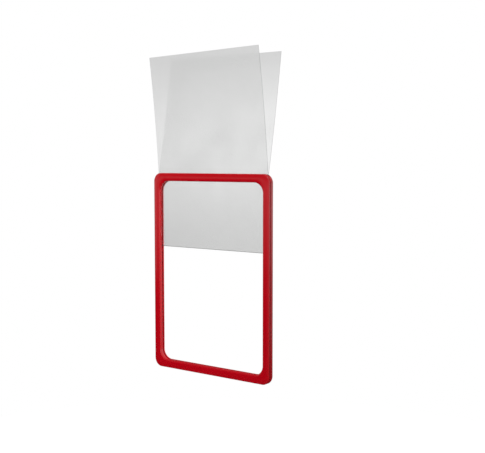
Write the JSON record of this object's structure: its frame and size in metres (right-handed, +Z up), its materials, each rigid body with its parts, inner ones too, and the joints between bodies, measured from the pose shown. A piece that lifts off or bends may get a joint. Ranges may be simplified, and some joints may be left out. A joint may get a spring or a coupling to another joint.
{
  "type": "display frame",
  "caption": "Upright portrait card frame with round corners and a slot along its top edge, holding a clear folded pocket pushed part-way in.",
  "frame": {"origin": "on the flat back of the frame, at the middle of the bottom bar, 6.2 mm above the frame's bottom edge", "axes": "+Z up, +Y out of the frame's back, so the display side faces -Y, and X along the width"},
  "size_m": [0.222, 0.0536, 0.491],
  "materials": {
    "red_plastic": "bright red moulded plastic, smooth and softly glossy",
    "clear_film": "clear film with a faint grey cast, smooth and glossy"
  },
  "bodies": {
    "root": {"red_frame": "red_plastic", "clear_pocket": "clear_film"}
  },
  "joints": []
}
